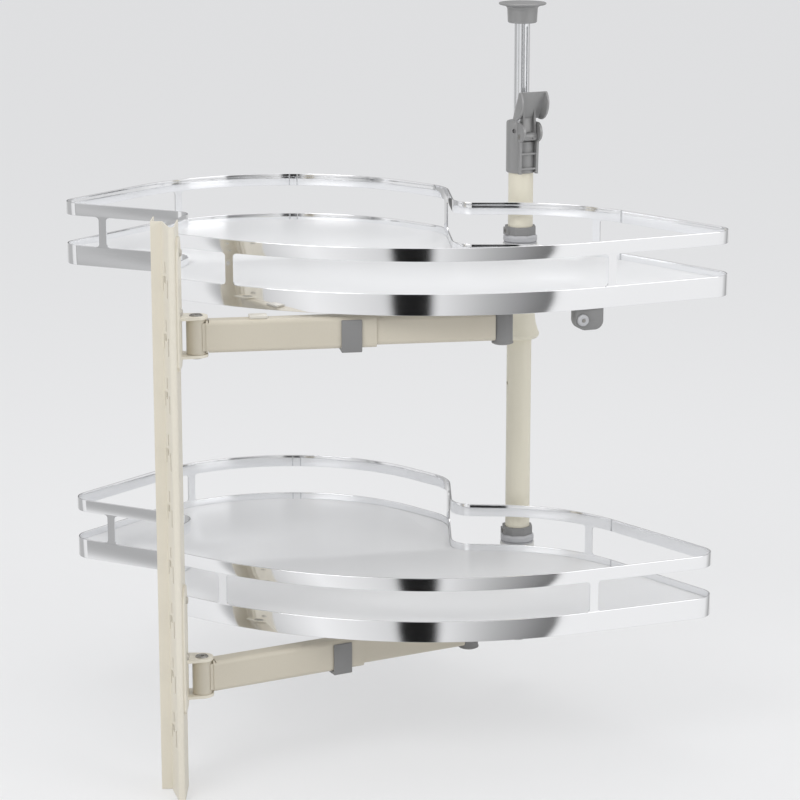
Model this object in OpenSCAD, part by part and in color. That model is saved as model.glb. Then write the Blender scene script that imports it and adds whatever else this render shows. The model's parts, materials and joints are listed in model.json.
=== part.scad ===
// Blind corner pull-out organizer: two S-shaped trays that turn about a clamped column,
// each held at its middle by a guide arm hinged on a slotted side rail.
// Millimetres, +Z up. X runs along the tray towards the column, Y into the cabinet.
// The origin is the middle of the side rail's lower pair of wall screws.

/* [Side rail] */
// Length of the rail
rail_len = 652; // [600:1:700]
// Rail end below the lower screw pair
rail_drop = 48; // [40:1:60]
// Width from the wall to the bracket leg
rail_w = 29.5; // [28:0.5:32]
// Depth of the channel towards the room
rail_depth = 38; // [34:0.5:42]
// Width of the wall flange
flange_w = 30; // [26:0.5:36]
// Width of the flat front step
step_w = 12; // [10:0.5:13]
// Sheet thickness of rail
rail_t = 1.6; // [1.2:0.1:2]
// Radius of the wall screw holes
wall_hole_r = 2.6; // [2:0.1:3]
// Height of the upper screw pair above the lower pair
screw_pair_rise = 544; // [512:32:544]

/* [Column] */
// Distance from the hinge pins to the column along X
column_dx = 368.3; // [358:0.1:378]
// Distance from the hinge pins to the column along Y
column_dy = 326; // [318:1:334]
// Outer radius of the column tube
column_r = 15; // [14:0.25:16]
// Wall of the column tube
column_wall = 2.2; // [1.5:0.1:3]
// Lower end of the column
column_low = 20; // [18:0.5:22]
// Length of the column tube
column_len = 620; // [614:1:626]

/* [Trays] */
// Height of one tray above the other
tier_rise = 377; // [370:1:385]
// Lower edge of the lower tray's band
tray_low = 120; // [119:0.5:124]
// Height of the lower band
band_h = 24; // [20:0.5:28]
// Height of the open window between band and rail
window_h = 36; // [30:0.5:40]
// Height of the top rail
toprail_h = 15; // [12:0.5:18]
// Strip thickness of the gallery
strip_t = 2; // [1.6:0.1:2.6]
// Width of a gallery post
post_w = 10; // [8:0.5:12]
// Corner radius of the windows
window_r = 4; // [2:0.5:6]
// Thickness of the board
board_t = 8; // [7:0.25:9]
// Board above the band's lower edge
board_up = 8; // [7.5:0.25:9]
// Turn of the lower tray against the upper one, in degrees
lower_turn = -3; // [-4:0.5:0]

/* [Guide arms] */
// Length from hinge pin to guide pin
arm_len = 341; // [330:1:346]
// Length of the outer arm tube
outer_len = 198; // [185:1:210]
// Height of the outer arm tube
arm_h = 36; // [32:0.5:38]
// Width of the outer arm tube
arm_w = 22; // [19:0.5:24]
// Wall of the arm tubes
arm_wall = 2; // [1.5:0.1:2.5]
// Gap between arm and tray band
arm_gap = 4; // [3.5:0.1:5]
// Extra drop of the lower arm, set at its bracket
lower_arm_drop = 15; // [10:1:18]
// Angle of the upper arm from X, in degrees
upper_arm_angle = 9; // [6:0.5:14]
// Angle of the lower arm from X, in degrees
lower_arm_angle = 27; // [22:0.5:30]
// Radius of the moulded arm end
end_r = 11.5; // [10:0.5:12]

/* [Hinge brackets] */
// Radius of the hinge pin
pin_r = 5; // [4:0.25:6]
// Radius of the knuckle
knuckle_r = 11; // [10:0.1:11.5]
// Thickness of the bracket sheet
bracket_t = 2.5; // [2:0.1:3]
// Height of the bracket plate
bracket_h = 146; // [130:1:150]
// Radius of the bracket lugs
lug_r = 13; // [12.5:0.25:14]

/* [Column clamp] */
// Radius of the brace rod
rod_r = 9.2; // [8.5:0.1:9.6]
// Length of the brace rod
rod_len = 262; // [250:1:280]
// Top face of the ceiling foot
foot_top = 808; // [800:1:815]
// Radius of the foot's flared disc
foot_r = 28.3; // [24:0.5:32]
// Turn of the clamp lever about the column, in degrees
clamp_turn = 24; // [10:1:35]
// Length of the lever from its pin
lever_len = 50; // [44:1:52]

/* [Hidden] */

// Colours as the photograph shows them
cream = [0.86, 0.83, 0.76];
pale_grey = [0.72, 0.72, 0.73];
chrome = [0.85, 0.86, 0.88];
white = [0.95, 0.95, 0.95];
steel = [0.6, 0.6, 0.62];

fit = 0.05;            // running clearance on a radius
seat = 0.3;            // clearance between curved neighbours
round_fn = 48;
hinge = [46.7, -4];      // hinge pins in plan
column = hinge + [column_dx, column_dy];
flange_y = -16;        // plane of the rail's front step
rail_low = -rail_drop;
pin_head_r = 7.6;
plate_x = rail_w;      // outer face of the rail's bracket leg

upper_z = tray_low + tier_rise;
lower_z = tray_low;
gallery_h = band_h + window_h + toprail_h;

// Tray outline: circles [x, y, radius, side] that a taut belt runs round, anticlockwise.
// side is 1 for a rounded corner or bow and -1 for a hollow. Places are from the column.
OUTLINE = [
    [202, -205, 24, 1],       // room-side tip
    [-23, -224, 199, 1],      // bow that faces the column
    [-57, -1, 24, -1],        // column notch
    [-147, 63, 62, 1],        // end of the rear lobe
    [-287, -35, 228, 1],      // rear lobe
    [-523, -13, 24, 1],       // far tip
    [-417, -109, 22, -1],     // rail notch
    [-373, -196, 48, 1],      // front corner beside the rail
    [-117, 154, 480, 1]       // front bow
];
// Posts of the gallery on the outline's rounds [circle, direction from its centre in degrees]
POSTS = [[8, 243], [8, 295.5], [1, 56], [4, 127.7], [3, 15.5]];
// Post on the straight edge between far tip and rail notch: share of the way along it
edge_post = 0.26; // kept off both rounds

function side_of(c, inset) = c[2] * c[3] - inset;
function unit(a) = [cos(a), sin(a)];
// Direction in which the belt leaves circle a for circle b, as the angle of its outward normal
function belt_normal(a, b, inset) =
    let (d = [b[0] - a[0], b[1] - a[1]], far = norm(d))
    atan2(d[1], d[0]) - acos((side_of(a, inset) - side_of(b, inset)) / far);
function wrap_turn(t, side) = side > 0 ? (t % 360 + 360) % 360 : -((-t % 360 + 360) % 360);
// Points of one circle between the belt's arrival and departure
function belt_arc(c, from, to, inset) =
    let (turn = wrap_turn(to - from, c[3]), n = ceil(abs(turn) / 6))
    [for (i = [0 : n]) [c[0], c[1]] + side_of(c, inset) * unit(from + turn * i / n)];
function belt(circles, inset) =
    let (n = len(circles))
    [for (i = [0 : n - 1])
        let (before = circles[(i + n - 1) % n], here = circles[i], after = circles[(i + 1) % n])
        each belt_arc(here, belt_normal(before, here, inset), belt_normal(here, after, inset), inset)];

module tray_plan(inset = 0) {
    polygon(belt(OUTLINE, inset));
}

// Places a tray's own parts: turned about the column, lifted to its band's lower edge
module on_tray(z, turn) {
    translate([column[0], column[1], z]) rotate(turn) children();
}

module strip_ring(h) {
    linear_extrude(h) difference() {
        tray_plan();
        tray_plan(strip_t);
    }
}

// Outline of a post in elevation, flared where it joins band and rail
fillet_steps = [0 : 15 : 90];
post_root = post_w / 2 + window_r;
POST_SIDE = concat(
    [[post_root, -0.5]],
    [for (t = fillet_steps) [post_root - window_r * sin(t), window_r * (1 - cos(t))]],
    [for (t = fillet_steps) [post_root - window_r * cos(t), window_h - window_r * (1 - sin(t))]],
    [[post_root, window_h + 0.5]]
);
function mirrored(points) = [for (i = [len(points) - 1 : -1 : 0]) [-points[i][0], points[i][1]]];

// Posts as [x, y, direction], centred in the strip
mid_strip = strip_t / 2;
edge_from = OUTLINE[5];
edge_to = OUTLINE[6];
edge_normal = belt_normal(edge_from, edge_to, 0);
edge_start = [edge_from[0], edge_from[1]] + side_of(edge_from, mid_strip) * unit(edge_normal);
edge_end = [edge_to[0], edge_to[1]] + side_of(edge_to, mid_strip) * unit(edge_normal);
edge_point = edge_start + edge_post * (edge_end - edge_start);
POST_PLACES = concat(
    [for (p = POSTS) let (c = OUTLINE[p[0]], q = [c[0], c[1]] + side_of(c, mid_strip) * unit(p[1]))
        [q[0], q[1], p[1]]],
    [[edge_point[0], edge_point[1], edge_normal]]
);

module gallery_post(p) {
    translate([p[0], p[1], band_h]) rotate(p[2] + 90) rotate([90, 0, 0])
        linear_extrude(strip_t - 0.4, center = true) polygon(concat(POST_SIDE, mirrored(POST_SIDE)));
}

// One bent strip whose windows leave a band, posts and a top rail
module gallery() {
    color(chrome) {
        strip_ring(band_h);
        translate([0, 0, band_h + window_h]) strip_ring(toprail_h);
        for (p = POST_PLACES) gallery_post(p);
    }
}

module board() {
    color(white) translate([0, 0, board_up]) linear_extrude(board_t) tray_plan(strip_t);
}

// Column hub, neck under the band and plate under the board
hub_r = 21;
hub_low = -52;
hub_high = 21;
neck_w = 46;
neck_len = 92;
neck_low = -12;
plate_len = 288;
plate_w = 116;
carrier_angle = -96;
carrier_plate_t = board_up - 1;
CARRIER_HOLES = [[84, -46], [84, 46], [270, -46], [270, 46]];
carrier_head_r = 4;
carrier_head_h = 2.2;
guide_gap = 0.5;      // between the arm's guide pin and the plate it runs under
carrier_hole_r = 2.2;

module carrier_plan() {
    hull() {
        translate([neck_len - 24, 0]) circle(r = 24, $fn = 32);
        for (s = [-1, 1]) translate([neck_len - 10, s * (plate_w / 2 - 14)]) circle(r = 14, $fn = 32);
    }
    hull() for (x = [neck_len - 10, plate_len], s = [-1, 1])
        translate([x - 8, s * (plate_w / 2 - 14)]) circle(r = 14, $fn = 32);
}

module hub_carrier() {
    color(white) difference() {
        union() {
            translate([0, 0, hub_low]) cylinder(r = hub_r, h = hub_high - hub_low, $fn = round_fn);
            rotate(carrier_angle) {
                translate([0, -neck_w / 2, neck_low]) cube([neck_len, neck_w, -neck_low - 0.6]);
                translate([neck_len - 42, -neck_w / 2, -1]) cube([42, neck_w, 2]);
                translate([0, 0, 1]) linear_extrude(carrier_plate_t) carrier_plan();
            }
        }
        translate([0, 0, hub_low - 1])
            cylinder(r = column_r + fit, h = hub_high - hub_low + 2, $fn = round_fn);
        rotate(carrier_angle) for (p = CARRIER_HOLES) translate([p[0], p[1], 0]) {
            cylinder(r = carrier_hole_r, h = board_up + 1, $fn = 24);
            translate([0, 0, 0.5]) cylinder(r = carrier_head_r, h = carrier_head_h + 0.5, $fn = 24);
        }
    }
}

module carrier_screws() {
    color(steel) rotate(carrier_angle) for (p = CARRIER_HOLES) translate([p[0], p[1], 0]) {
        translate([0, 0, 1.1]) cylinder(r = carrier_head_r - 0.1, h = carrier_head_h - 0.1, $fn = 24);
        translate([0, 0, 2]) cylinder(r = carrier_hole_r - fit, h = board_up - 2, $fn = 24);
    }
}

// Bell-shaped collar pinned to the column under the hub
collar_h = 44;

module support_collar() {
    color(cream) translate([0, 0, hub_low - collar_h]) rotate_extrude($fn = round_fn) polygon([
        [column_r + fit, 0], [column_r + 6.5, 0], [column_r + 8.8, 2.5], [column_r + 9.3, 5.5],
        [column_r + 7.4, 10], [column_r + 5, 18], [column_r + 3.8, 27], [column_r + 3.5, collar_h - 0.5],
        [column_r + fit, collar_h - 0.5]
    ]);
}

ring_h = 11;

module bearing_ring() {
    color(pale_grey) translate([0, 0, hub_high + 0.3]) rotate_extrude($fn = round_fn) polygon([
        [column_r + fit, 0], [hub_r - 1, 0], [hub_r - 1, 1.5], [hub_r - 2.5, 2], [hub_r - 2.5, 3],
        [hub_r - 0.5, 3.5], [hub_r - 0.5, ring_h - 2.5], [hub_r - 2.5, ring_h - 0.3],
        [column_r + fit, ring_h - 0.3]
    ]);
}

lock_h = 10;
lock_angle = 205;
lock_screw_r = 2.5;

module lock_collar() {
    color(pale_grey) translate([0, 0, hub_high + ring_h]) difference() {
        union() {
            linear_extrude(lock_h) polygon([for (a = [lock_angle : 45 : lock_angle + 315]) (hub_r - 1.6) * unit(a)]);
            rotate(lock_angle) translate([column_r + 1.5, -5, 0.6]) cube([hub_r - column_r - 2, 10, lock_h - 1.2]);
        }
        translate([0, 0, -1]) cylinder(r = column_r + fit, h = lock_h + 2, $fn = round_fn);
        rotate(lock_angle) translate([column_r - 1, 0, lock_h / 2]) rotate([0, 90, 0])
            cylinder(r = lock_screw_r, h = hub_r, $fn = 24);
    }
}

module lock_screw() {
    color(steel) translate([0, 0, hub_high + ring_h]) rotate(lock_angle)
        translate([column_r + 0.1, 0, lock_h / 2]) rotate([0, 90, 0])
            difference() {
                cylinder(r = lock_screw_r - 0.05, h = 4, $fn = 24);
                translate([0, 0, 2]) cylinder(r = 1.3, h = 3, $fn = 6);
            }
}

// Slotted steel channel screwed to the cabinet side
nose_r = 4;
nose_from = 195;
nose_centre = [rail_w - nose_r, flange_y - rail_depth + nose_r];
web_start = [step_w, flange_y];
web_end = nose_centre + nose_r * unit(nose_from);
web_len = norm(web_end - web_start);
web_angle = atan2(web_end[1] - web_start[1], web_end[0] - web_start[0]);
leg_end = flange_y + 10;
RAIL = concat(
    [[0, flange_y + flange_w], [0, flange_y], web_start],
    [for (a = [nose_from : 15 : 360]) nose_centre + nose_r * unit(a)],
    [[rail_w, flange_y + flange_w]]
);
slot_pitch = 64;
slot_top = 549;
slot_w = 4.5;

module rail_plan() {
    difference() {
        polygon(RAIL);
        offset(delta = -rail_t) polygon(RAIL);
        translate([rail_t, leg_end]) square([2 * rail_w, flange_w]);
    }
}

// Cuts through the slanting web: from and to along it, then a height range
module web_slot(from, to, low, high) {
    translate([web_start[0], web_start[1], low]) rotate(web_angle)
        translate([from, -rail_t - 1, 0]) cube([to - from, 2 * rail_t + 2, high - low]);
}

// Hook slots repeat along the rail: a lead-in above, a window and two long slots below
module slot_group(z) {
    middle = web_len / 2;
    web_slot(middle - slot_w / 2, middle + slot_w / 2, z + 1.5, z + 14);
    web_slot(middle - 7, middle + 2, z - 10, z - 2);
    web_slot(middle - 14, middle - 14 + slot_w, z - 20, z - 4);
    web_slot(middle + 10, middle + 10 + slot_w, z - 24, z - 4);
}

module side_rail() {
    color(cream) difference() {
        translate([0, 0, rail_low]) linear_extrude(rail_len) rail_plan();
        for (z = [-16, 16, screw_pair_rise - 16, screw_pair_rise + 16])
            translate([-1, 0, z]) rotate([0, 90, 0]) cylinder(r = wall_hole_r, h = 4, $fn = 24);
        for (z = [slot_top : -slot_pitch : rail_low + 40]) slot_group(z);
        for (tier = [0, 1], z = bracket_screw_z(tier)) rail_screw_hole(z);
    }
}

function arm_drop(tier) = tier == 0 ? lower_arm_drop : 0;
function tray_z(tier) = tier == 0 ? lower_z : upper_z;
function arm_top(tier) = tray_z(tier) - arm_gap - arm_drop(tier);
function bracket_low(tier) = arm_top(tier) - arm_h - 13;
function bracket_screw_z(tier) = [bracket_low(tier) + 62, bracket_low(tier) + 128];
lug_t = 3;
knuckle_h = arm_h + 3;
bracket_screw_r = 2.4;
bracket_y = flange_y - rail_depth + 4;
bracket_w = 40;

module rail_screw_hole(z) {
    translate([rail_w - rail_t - 1, flange_y - 12, z]) rotate([0, 90, 0])
        cylinder(r = bracket_screw_r, h = rail_t + 2, $fn = 24);
}

module bracket(tier) {
    low = bracket_low(tier);
    knuckle_low = arm_top(tier) - arm_h - 1.5;
    color(cream) difference() {
        union() {
            translate([plate_x, bracket_y, 0]) rotate([90, 0, 90]) linear_extrude(bracket_t)
                hull() {
                    translate([6, low]) square([bracket_w - 12, 1]);
                    translate([0, low + 6]) square([bracket_w, bracket_h - 26]);
                    translate([20, low + bracket_h - 20]) circle(r = 20, $fn = round_fn);
                }
            for (z = [knuckle_low - 0.3 - lug_t, knuckle_low + knuckle_h + 0.3])
                translate([0, 0, z]) linear_extrude(lug_t) hull() {
                    translate(hinge) circle(r = lug_r, $fn = round_fn);
                    translate([plate_x + 0.5, hinge[1] - 17]) square([1, 30]);
                }
        }
        translate([hinge[0], hinge[1], low - 10]) cylinder(r = pin_r + fit, h = bracket_h, $fn = round_fn);
        for (z = bracket_screw_z(tier)) translate([plate_x - 1, flange_y - 12, z]) rotate([0, 90, 0])
            cylinder(r = bracket_screw_r, h = bracket_t + 2, $fn = 24);
    }
}

module bracket_screws(tier) {
    color(steel) for (z = bracket_screw_z(tier)) translate([plate_x + bracket_t, flange_y - 12, z])
        rotate([0, 90, 0]) {
            cylinder(r1 = 4.6, r2 = 3.4, h = 2.4, $fn = 32);
            translate([0, 0, -bracket_t - rail_t - 2]) cylinder(
                r = bracket_screw_r - 0.05, h = bracket_t + rail_t + 2, $fn = 24);
        }
}

module hinge_pin(tier) {
    knuckle_low = arm_top(tier) - arm_h - 1.5;
    low = knuckle_low - lug_t - 2.3;
    high = knuckle_low + knuckle_h + lug_t + 0.3;
    color(steel) translate([hinge[0], hinge[1], 0]) difference() {
        union() {
            translate([0, 0, low]) cylinder(r = pin_r, h = high - low, $fn = round_fn);
            translate([0, 0, high]) cylinder(r1 = pin_head_r, r2 = pin_head_r - 0.8, h = 1.2, $fn = round_fn);
            translate([0, 0, low]) cylinder(r1 = pin_head_r - 1, r2 = pin_head_r, h = 1.9, $fn = round_fn);
        }
        translate([0, 0, high + 0.4]) difference() {
            cylinder(r = pin_head_r - 1.8, h = 2, $fn = round_fn);
            translate([0, 0, -1]) cylinder(r = pin_head_r - 3, h = 4, $fn = round_fn);
        }
        translate([0, 0, high - 1.5]) cylinder(r = 3, h = 5, $fn = 6);
    }
}

function arm_angle(tier) = tier == 0 ? lower_arm_angle : upper_arm_angle;

module on_arm(tier) {
    translate([hinge[0], hinge[1], arm_top(tier) - arm_h]) rotate(arm_angle(tier)) children();
}

// Cross-section of an arm tube, standing on z = 0 and centred on y
module tube_section(w, h, r) {
    translate([-w / 2 + r, r]) offset(r = r, $fn = 24) square([w - 2 * r, h - 2 * r]);
}

module rect_tube(from, to, w, h, wall) {
    translate([from, 0, 0]) rotate([90, 0, 90]) linear_extrude(to - from) difference() {
        tube_section(w, h, 5);
        translate([0, wall]) tube_section(w - 2 * wall, h - 2 * wall, 3.2);
    }
}

// Small notches show where the knuckle is let into the tube
notch_h = 2.5;

module arm_tube(tier) {
    color(cream) on_arm(tier) difference() {
        union() {
            rect_tube(knuckle_r - 1, outer_len, arm_w, arm_h, arm_wall);
            translate([0, 0, -1.5]) cylinder(r = knuckle_r, h = knuckle_h, $fn = round_fn);
            translate([knuckle_r - 5, -arm_w / 2 + 1, notch_h]) cube([9, arm_w - 2, arm_h - 2 * notch_h]);
        }
        translate([0, 0, -5]) cylinder(r = pin_r + fit, h = arm_h + 10, $fn = round_fn);
        for (z = [-2, arm_h - notch_h]) translate([knuckle_r + 1.2, -arm_w / 2 - 1, z])
            cube([1.2, arm_w + 2, notch_h + 2]);
    }
}

ext_gap = fit;
ext_overlap = 40;
end_clear = 0.02;

module arm_extension(tier) {
    ext_w = arm_w - 2 * (arm_wall + ext_gap);
    ext_h = arm_h - 2 * (arm_wall + ext_gap);
    color(cream) on_arm(tier) difference() {
        translate([0, 0, arm_wall + ext_gap])
            rect_tube(outer_len - ext_overlap, arm_len - end_r + 2, ext_w, ext_h, arm_wall - 0.2);
        translate([arm_len, 0, -1]) cylinder(r = end_r + end_clear, h = arm_h + 2, $fn = round_fn);
    }
}

clip_x = 158.5;
clip_w = 23;
clip_t = 2.6;

module arm_clip(tier) {
    color(pale_grey) on_arm(tier) difference() {
        translate([clip_x, -arm_w / 2 - clip_t, -clip_t - 1.4])
            cube([clip_w, arm_w + 2 * clip_t, arm_h - 2 + clip_t]);
        translate([clip_x - 1, -arm_w / 2 - 0.02, -0.02]) cube([clip_w + 2, arm_w + 0.04, arm_h + 10]);
    }
}

pad_x = 58;
pad_len = 20;

module glide_pad() {
    color(cream) on_arm(1) translate([pad_x, -7, arm_h]) cube([pad_len, 14, arm_gap - seat]);
}

// Moulded end of the arm: a spigot in the tube and a guide pin that runs under the tray
spigot_len = 14;
guide_pin_r = 5;

module arm_end(tier) {
    pin_top = arm_h + arm_gap + arm_drop(tier) + 1 - guide_gap;
    spigot_w = arm_w - 4 * arm_wall;
    color(pale_grey) on_arm(tier) {
        translate([arm_len, 0, 0]) rotate_extrude($fn = round_fn) polygon([
            [0, -2.4], [end_r - 1.5, -2.4], [end_r + 0.6, -1.4], [end_r + 0.6, 0],
            [end_r, 0.6], [end_r, arm_h - 2], [end_r - 2, arm_h], [guide_pin_r, arm_h],
            [guide_pin_r, pin_top], [0, pin_top]
        ]);
        translate([arm_len - end_r - spigot_len, -spigot_w / 2 + 2, 3 * arm_wall])
            cube([spigot_len + 4, spigot_w - 4, arm_h - 6 * arm_wall]);
    }
}

// Column tube with its adjusting hole
column_hole_z = 344;
column_hole_r = 2.5;

module column_tube() {
    color(cream) translate([column[0], column[1], 0]) difference() {
        translate([0, 0, column_low]) cylinder(r = column_r, h = column_len, $fn = 64);
        translate([0, 0, column_low - 1]) cylinder(r = column_r - column_wall, h = column_len + 2, $fn = 64);
        translate([0, 0, column_hole_z]) rotate([0, 90, 195])
            cylinder(r = column_hole_r, h = column_r + 5, $fn = 24);
    }
}

module column_foot() {
    color(pale_grey) translate([column[0], column[1], 0]) {
        translate([0, 0, column_low - 4]) cylinder(r1 = column_r - 1, r2 = column_r, h = 4, $fn = round_fn);
        translate([0, 0, column_low]) cylinder(r = column_r - column_wall - 0.02, h = 18, $fn = round_fn);
    }
}

// Clamp on top of the column
tube_seat = 37;          // depth of the column tube in the housing
housing_h = 64;
housing_low = column_low + column_len - tube_seat;
housing_high = housing_low + housing_h;
housing_w = 34;
housing_d = 31;
housing_mid = -1.5;     // middle of the housing, in front of the column axis
housing_front = housing_mid - housing_d / 2;
housing_corner = 9;
lever_z = housing_low + 47;
lever_y = -19;
cheek_t = 4.5;
cheek_r = 7.5;
lever_pin_r = 3;
rib_t = 2.5;
RIBS = [6, 24];

module on_clamp() {
    translate([column[0], column[1], 0]) rotate(clamp_turn) children();
}

module housing_plan() {
    hull() for (x = [-1, 1], y = [-1, 1]) {
        r = y > 0 ? housing_corner : 3;
        translate([x * (housing_w / 2 - r), housing_mid + y * (housing_d / 2 - r)]) circle(r = r, $fn = 32);
    }
}

// Cheek outline from the side: round about the lever's pin, straight down the front
module cheek_plan() {
    hull() {
        translate([lever_y, lever_z]) circle(r = cheek_r, $fn = round_fn);
        translate([housing_front + 1, housing_low]) square([5, housing_high - housing_low - 2]);
        translate([lever_y - 3, housing_low]) square([6, 3]);
    }
}

module clamp_housing() {
    inner = housing_w - 2 * cheek_t;
    color(pale_grey) on_clamp() difference() {
        union() {
            translate([0, 0, housing_low]) linear_extrude(housing_high - housing_low) housing_plan();
            for (s = [-1, 1]) translate([s * (housing_w - cheek_t) / 2, 0, 0])
                rotate([90, 0, 90]) linear_extrude(cheek_t, center = true) cheek_plan();
            for (z = RIBS) translate([-inner / 2 - 1, lever_y - 2, housing_low + z - rib_t])
                cube([inner + 2, 8, rib_t]);
            translate([housing_w / 2 - 0.5, lever_y, lever_z]) rotate([0, 90, 0])
                cylinder(r = cheek_r - 1, h = 2, $fn = round_fn);
        }
        translate([0, 0, housing_low - 1])
            cylinder(r = column_r, h = tube_seat + 1, $fn = round_fn);
        translate([0, 0, housing_low]) cylinder(r = rod_r + fit, h = housing_h + 16, $fn = round_fn);
        translate([-inner / 2, -60, lever_z - cheek_r - 1]) cube([inner, 60 + lever_y + cheek_r - 0.4, 40]);
        translate([-housing_w, lever_y, lever_z]) rotate([0, 90, 0])
            cylinder(r = lever_pin_r, h = 2 * housing_w, $fn = round_fn);
    }
}

lever_w = housing_w - 2 * cheek_t - 1;
paddle_w = 36;
paddle_t = 2.6;
paddle_low = lever_z + 16;
paddle_high = lever_z + lever_len + 4;
wing_t = 2.4;
lever_rib_x = 4.5;
lever_rib_lean = 12;
wing_low = housing_high + 0.6;
// Paddle in profile: bows out towards the top
PADDLE = [
    [lever_y - 10, paddle_low], [lever_y - 11.5, paddle_low + 9], [lever_y - 12, paddle_low + 19],
    [lever_y - 13.5, paddle_low + 29], [lever_y - 17, paddle_high]
];
paddle_back = [for (p = PADDLE) p + [paddle_t, -0.4]];
WING = concat(PADDLE, [
    paddle_back[4] + [0, -2], [lever_y - 6, paddle_low + 26], [lever_y + 6, paddle_low + 12],
    [lever_y + 13, wing_low + 4], [lever_y + 14, wing_low], [lever_y + 1, wing_low], [lever_y, paddle_low]
]);
LEVER_RIB = [
    [lever_y - 6, lever_z - 1], [lever_y + 4, lever_z - 1], [lever_y + 1, paddle_low],
    PADDLE[2] + [2, 0], PADDLE[3] + [1, 1], PADDLE[2] + [0.5, 0], PADDLE[1] + [0.5, 0], PADDLE[0] + [0.5, 0]
];
function reversed(points) = [for (i = [len(points) - 1 : -1 : 0]) points[i]];

module across(width) {
    rotate([90, 0, 90]) linear_extrude(width, center = true) children();
}

module clamp_lever() {
    color(pale_grey) on_clamp() difference() {
        union() {
            translate([-lever_w / 2, lever_y, lever_z]) rotate([0, 90, 0])
                cylinder(r = cheek_r - 0.8, h = lever_w, $fn = round_fn);
            across(paddle_w) polygon(concat(PADDLE, reversed(paddle_back)));
            for (s = [-1, 1]) {
                translate([s * lever_rib_x, 0, lever_z]) rotate([0, s * lever_rib_lean, 0])
                    translate([0, 0, -lever_z]) across(2.6) polygon(LEVER_RIB);
                translate([s * (paddle_w - wing_t) / 2, 0, 0]) across(wing_t) polygon(WING);
            }
        }
        translate([-housing_w, lever_y, lever_z]) rotate([0, 90, 0])
            cylinder(r = lever_pin_r + fit, h = 2 * housing_w, $fn = round_fn);
    }
}

module clamp_lever_pin() {
    color(steel) on_clamp() translate([-housing_w / 2 - 0.5, lever_y, lever_z]) rotate([0, 90, 0])
        cylinder(r = lever_pin_r, h = housing_w + 1, $fn = round_fn);
}

foot_body_h = 19;
foot_disc_h = 5;
foot_socket = 12;

module brace_rod() {
    color(chrome) translate([column[0], column[1], foot_top - foot_disc_h - foot_body_h + foot_socket - rod_len])
        difference() {
            cylinder(r = rod_r, h = rod_len, $fn = 64);
            rotate(clamp_turn + 10) translate([-1.2, -rod_r - 1, 60]) cube([2.4, 2.2, rod_len - 60 - foot_socket - 4]);
        }
}

module ceiling_foot() {
    low = foot_top - foot_disc_h - foot_body_h;
    color(pale_grey) translate([column[0], column[1], low]) rotate_extrude($fn = 64) polygon([
        [0, foot_socket], [rod_r, foot_socket], [rod_r, 0], [rod_r + 7, 0], [rod_r + 8.2, 1.2],
        [rod_r + 9, foot_body_h - 2], [rod_r + 10, foot_body_h], [rod_r + 13, foot_body_h + 1.4],
        [foot_r - 1, foot_body_h + 2.4], [foot_r, foot_body_h + 3.4],
        [foot_r, foot_body_h + foot_disc_h - 0.6], [foot_r - 0.8, foot_body_h + foot_disc_h],
        [0, foot_body_h + foot_disc_h]
    ]);
}

// Catch under the room-side edge of the upper tray
CATCH = [62, -281];
catch_turn = 20;
catch_w = 33;
catch_d = 14;
catch_drop = 24;
catch_roller_r = 6.5;
catch_axle_r = 2;
catch_roller_t = 4;

module on_catch() {
    on_tray(upper_z, 0) translate([CATCH[0], CATCH[1], 0]) rotate(catch_turn) children();
}

module catch_bracket() {
    color(pale_grey) on_catch() difference() {
        union() {
            rotate([90, 0, 0]) linear_extrude(catch_d, center = true) hull() {
                translate([-catch_w / 2, board_up - 1]) square([catch_w, 1]);
                translate([-catch_w / 2 + 12, -catch_drop + 12]) circle(r = 12, $fn = round_fn);
                translate([catch_w / 2 - 10, -catch_drop + 10]) circle(r = 10, $fn = round_fn);
            }
        }
        translate([-9, 0, -catch_drop + 12]) rotate([90, 0, 0])
            cylinder(r = catch_axle_r, h = 40, center = true, $fn = round_fn);
    }
}

module catch_axle() {
    color(steel) on_catch() translate([-9, catch_d / 2, -catch_drop + 12]) rotate([90, 0, 0])
        cylinder(r = catch_axle_r, h = catch_d + catch_roller_t + 0.6, $fn = round_fn);
}

module catch_roller() {
    color(pale_grey) on_catch() translate([-9, -catch_d / 2 - 0.3, -catch_drop + 12]) rotate([90, 0, 0])
        rotate_extrude($fn = round_fn) polygon([
            [catch_axle_r + fit, 0], [catch_roller_r, 0], [catch_roller_r, catch_roller_t - 1],
            [catch_roller_r - 1, catch_roller_t], [catch_axle_r + fit, catch_roller_t]
        ]);
}

side_rail();
bracket(1);  // upper_bracket
bracket_screws(1);  // upper_bracket_screws
hinge_pin(1);  // upper_hinge_pin
arm_tube(1);  // upper_arm_tube
arm_extension(1);  // upper_arm_extension
arm_clip(1);  // upper_arm_clip
glide_pad();  // upper_glide_pad
arm_end(1);  // upper_arm_end
on_tray(upper_z, 0) support_collar();  // upper_support_collar
on_tray(upper_z, 0) hub_carrier();  // upper_hub_carrier
on_tray(upper_z, 0) bearing_ring();  // upper_bearing_ring
on_tray(upper_z, 0) lock_collar();  // upper_lock_collar
on_tray(upper_z, 0) lock_screw();  // upper_lock_screw
on_tray(upper_z, 0) board();  // upper_board
on_tray(upper_z, 0) gallery();  // upper_gallery
on_tray(upper_z, 0) carrier_screws();  // upper_carrier_screws
bracket(0);  // lower_bracket
bracket_screws(0);  // lower_bracket_screws
hinge_pin(0);  // lower_hinge_pin
arm_tube(0);  // lower_arm_tube
arm_extension(0);  // lower_arm_extension
arm_clip(0);  // lower_arm_clip
arm_end(0);  // lower_arm_end
on_tray(lower_z, 0) support_collar();  // lower_support_collar
on_tray(lower_z, lower_turn) hub_carrier();  // lower_hub_carrier
on_tray(lower_z, 0) bearing_ring();  // lower_bearing_ring
on_tray(lower_z, 0) lock_collar();  // lower_lock_collar
on_tray(lower_z, 0) lock_screw();  // lower_lock_screw
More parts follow.
